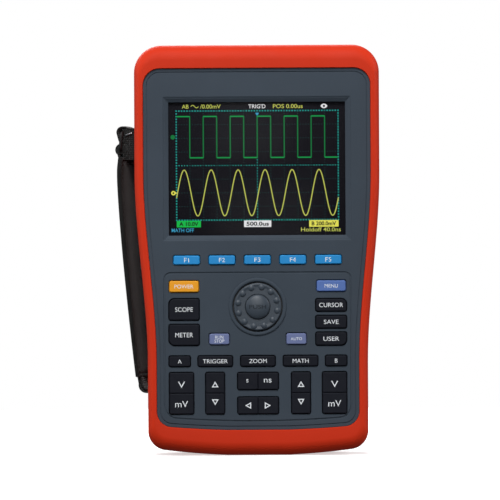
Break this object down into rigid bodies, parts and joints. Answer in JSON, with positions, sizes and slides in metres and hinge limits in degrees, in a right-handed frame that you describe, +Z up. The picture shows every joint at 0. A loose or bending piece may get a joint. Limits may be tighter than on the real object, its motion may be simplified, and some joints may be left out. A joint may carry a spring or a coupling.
{
  "type": "handheld oscilloscope",
  "caption": "Handheld oscilloscope in a rubber holster: display over keys and a turning dial, padded side strap, sunken inputs on top and a folding rear stand.",
  "frame": {"origin": "centre of the flat foot that it stands on", "axes": "+Z up along its height, -Y out of the display side, +X to the right of somebody facing the display"},
  "size_m": [0.1726, 0.059, 0.268],
  "materials": {
    "black_plastic": "satin",
    "board_green": "satin",
    "case_grey": "fine texture",
    "clear": "polished",
    "fabric_black": "woven",
    "jack_red": "satin",
    "key_black": "satin",
    "key_blue": "satin",
    "key_orange": "satin",
    "key_violet": "satin",
    "rubber_red": "satin",
    "screen_black": "polished",
    "steel": "polished"
  },
  "bodies": {
    "instrument": {"holster": "rubber_red", "front_case": "case_grey", "rear_case": "case_grey", "display_lens": "clear", "display_module": "screen_black", "keypad_board": "board_green", "main_board": "board_green", "shield_can": "steel", "beeper": "black_plastic", "rotary_encoder": "steel", "battery_pack": "black_plastic", "battery_door": "case_grey", "battery_door_screw": "steel", "case_screw_top_left": "steel", "case_screw_top_right": "steel", "case_screw_foot_left": "steel", "case_screw_foot_right": "steel", "terminal_block": "black_plastic", "coax_input_a": "steel", "coax_input_b": "steel", "jack_volts": "jack_red", "jack_common": "black_plastic", "jack_current": "black_plastic", "data_socket": "steel", "power_socket": "black_plastic", "stand_pin": "steel", "strap_pad": "fabric_black", "strap_fold": "fabric_black", "strap_ring": "steel", "strap_anchor_top": "fabric_black", "strap_anchor_foot": "fabric_black"},
    "dial": {"jog_dial": "case_grey"},
    "dial_push": {"jog_push_cap": "case_grey"},
    "stand": {"stand": "case_grey"},
    "port_cover": {"port_cover": "rubber_red"},
    "key_f1": {"key_f1": "key_blue"},
    "key_f2": {"key_f2": "key_blue"},
    "key_f3": {"key_f3": "key_blue"},
    "key_f4": {"key_f4": "key_blue"},
    "key_f5": {"key_f5": "key_blue"},
    "key_power": {"key_power": "key_orange"},
    "key_menu": {"key_menu": "key_violet"},
    "key_scope": {"key_scope": "key_black"},
    "key_meter": {"key_meter": "key_black"},
    "key_cursor": {"key_cursor": "key_black"},
    "key_save": {"key_save": "key_black"},
    "key_user": {"key_user": "key_black"},
    "key_run_stop": {"key_run_stop": "key_violet"},
    "key_auto": {"key_auto": "key_violet"},
    "key_channel_a": {"key_channel_a": "key_black"},
    "key_trigger": {"key_trigger": "key_black"},
    "key_zoom": {"key_zoom": "key_black"},
    "key_math": {"key_math": "key_black"},
    "key_channel_b": {"key_channel_b": "key_black"},
    "rocker_volts_a": {"rocker_volts_a": "key_black"},
    "rocker_position_a": {"rocker_position_a": "key_black"},
    "rocker_time": {"rocker_time": "key_black"},
    "rocker_shift": {"rocker_shift": "key_black"},
    "rocker_position_b": {"rocker_position_b": "key_black"},
    "rocker_volts_b": {"rocker_volts_b": "key_black"}
  },
  "joints": [
    {"name": "key_f1_press", "type": "slide", "parent": "instrument", "child": "key_f1", "axis": [0, 1, 0], "range_m": [0, 0.001], "stiffness_N_per_m": 600, "springref_m": -0.0005},
    {"name": "key_f2_press", "type": "slide", "parent": "instrument", "child": "key_f2", "axis": [0, 1, 0], "range_m": [0, 0.001], "stiffness_N_per_m": 600, "springref_m": -0.0005},
    {"name": "key_f3_press", "type": "slide", "parent": "instrument", "child": "key_f3", "axis": [0, 1, 0], "range_m": [0, 0.001], "stiffness_N_per_m": 600, "springref_m": -0.0005},
    {"name": "key_f4_press", "type": "slide", "parent": "instrument", "child": "key_f4", "axis": [0, 1, 0], "range_m": [0, 0.001], "stiffness_N_per_m": 600, "springref_m": -0.0005},
    {"name": "key_f5_press", "type": "slide", "parent": "instrument", "child": "key_f5", "axis": [0, 1, 0], "range_m": [0, 0.001], "stiffness_N_per_m": 600, "springref_m": -0.0005},
    {"name": "key_power_press", "type": "slide", "parent": "instrument", "child": "key_power", "axis": [0, 1, 0], "range_m": [0, 0.001], "stiffness_N_per_m": 600, "springref_m": -0.0005},
    {"name": "key_menu_press", "type": "slide", "parent": "instrument", "child": "key_menu", "axis": [0, 1, 0], "range_m": [0, 0.001], "stiffness_N_per_m": 600, "springref_m": -0.0005},
    {"name": "key_scope_press", "type": "slide", "parent": "instrument", "child": "key_scope", "axis": [0, 1, 0], "range_m": [0, 0.001], "stiffness_N_per_m": 600, "springref_m": -0.0005},
    {"name": "key_meter_press", "type": "slide", "parent": "instrument", "child": "key_meter", "axis": [0, 1, 0], "range_m": [0, 0.001], "stiffness_N_per_m": 600, "springref_m": -0.0005},
    {"name": "key_cursor_press", "type": "slide", "parent": "instrument", "child": "key_cursor", "axis": [0, 1, 0], "range_m": [0, 0.001], "stiffness_N_per_m": 600, "springref_m": -0.0005},
    {"name": "key_save_press", "type": "slide", "parent": "instrument", "child": "key_save", "axis": [0, 1, 0], "range_m": [0, 0.001], "stiffness_N_per_m": 600, "springref_m": -0.0005},
    {"name": "key_user_press", "type": "slide", "parent": "instrument", "child": "key_user", "axis": [0, 1, 0], "range_m": [0, 0.001], "stiffness_N_per_m": 600, "springref_m": -0.0005},
    {"name": "key_run_stop_press", "type": "slide", "parent": "instrument", "child": "key_run_stop", "axis": [0, 1, 0], "range_m": [0, 0.001], "stiffness_N_per_m": 600, "springref_m": -0.0005},
    {"name": "key_auto_press", "type": "slide", "parent": "instrument", "child": "key_auto", "axis": [0, 1, 0], "range_m": [0, 0.001], "stiffness_N_per_m": 600, "springref_m": -0.0005},
    {"name": "key_channel_a_press", "type": "slide", "parent": "instrument", "child": "key_channel_a", "axis": [0, 1, 0], "range_m": [0, 0.001], "stiffness_N_per_m": 600, "springref_m": -0.0005},
    {"name": "key_trigger_press", "type": "slide", "parent": "instrument", "child": "key_trigger", "axis": [0, 1, 0], "range_m": [0, 0.001], "stiffness_N_per_m": 600, "springref_m": -0.0005},
    {"name": "key_zoom_press", "type": "slide", "parent": "instrument", "child": "key_zoom", "axis": [0, 1, 0], "range_m": [0, 0.001], "stiffness_N_per_m": 600, "springref_m": -0.0005},
    {"name": "key_math_press", "type": "slide", "parent": "instrument", "child": "key_math", "axis": [0, 1, 0], "range_m": [0, 0.001], "stiffness_N_per_m": 600, "springref_m": -0.0005},
    {"name": "key_channel_b_press", "type": "slide", "parent": "instrument", "child": "key_channel_b", "axis": [0, 1, 0], "range_m": [0, 0.001], "stiffness_N_per_m": 600, "springref_m": -0.0005},
    {"name": "rocker_volts_a_tip", "type": "hinge", "parent": "instrument", "child": "rocker_volts_a", "pos_m": [-0.0499, -0.024, 0.0407], "axis": [1, 0, 0], "range_deg": [-2.5, 2.5], "stiffness_Nm_per_rad": 0.2},
    {"name": "rocker_position_a_tip", "type": "hinge", "parent": "instrument", "child": "rocker_position_a", "pos_m": [-0.028, -0.024, 0.0407], "axis": [1, 0, 0], "range_deg": [-2.5, 2.5], "stiffness_Nm_per_rad": 0.2},
    {"name": "rocker_time_tip", "type": "hinge", "parent": "instrument", "child": "rocker_time", "pos_m": [0, -0.024, 0.0485], "axis": [0, 0, 1], "range_deg": [-2.5, 2.5], "stiffness_Nm_per_rad": 0.2},
    {"name": "rocker_shift_tip", "type": "hinge", "parent": "instrument", "child": "rocker_shift", "pos_m": [0, -0.024, 0.0326], "axis": [0, 0, 1], "range_deg": [-2.5, 2.5], "stiffness_Nm_per_rad": 0.2},
    {"name": "rocker_position_b_tip", "type": "hinge", "parent": "instrument", "child": "rocker_position_b", "pos_m": [0.028, -0.024, 0.0407], "axis": [1, 0, 0], "range_deg": [-2.5, 2.5], "stiffness_Nm_per_rad": 0.2},
    {"name": "rocker_volts_b_tip", "type": "hinge", "parent": "instrument", "child": "rocker_volts_b", "pos_m": [0.0499, -0.024, 0.0407], "axis": [1, 0, 0], "range_deg": [-2.5, 2.5], "stiffness_Nm_per_rad": 0.2},
    {"name": "dial_turn", "type": "hinge", "parent": "instrument", "child": "dial", "pos_m": [0, -0.026, 0.097], "axis": [0, -1, 0], "continuous": true},
    {"name": "dial_push_press", "type": "slide", "parent": "dial", "child": "dial_push", "axis": [0, 1, 0], "range_m": [0, 0.0008], "stiffness_N_per_m": 800, "springref_m": -0.0005},
    {"name": "stand_swing", "type": "hinge", "parent": "instrument", "child": "stand", "pos_m": [0, 0.0253, 0.146], "axis": [1, 0, 0], "range_deg": [0, 60]},
    {"name": "port_cover_lift", "type": "hinge", "parent": "instrument", "child": "port_cover", "pos_m": [0.07885, 0.012, 0.2364], "axis": [0, -1, 0], "range_deg": [0, 95]}
  ]
}
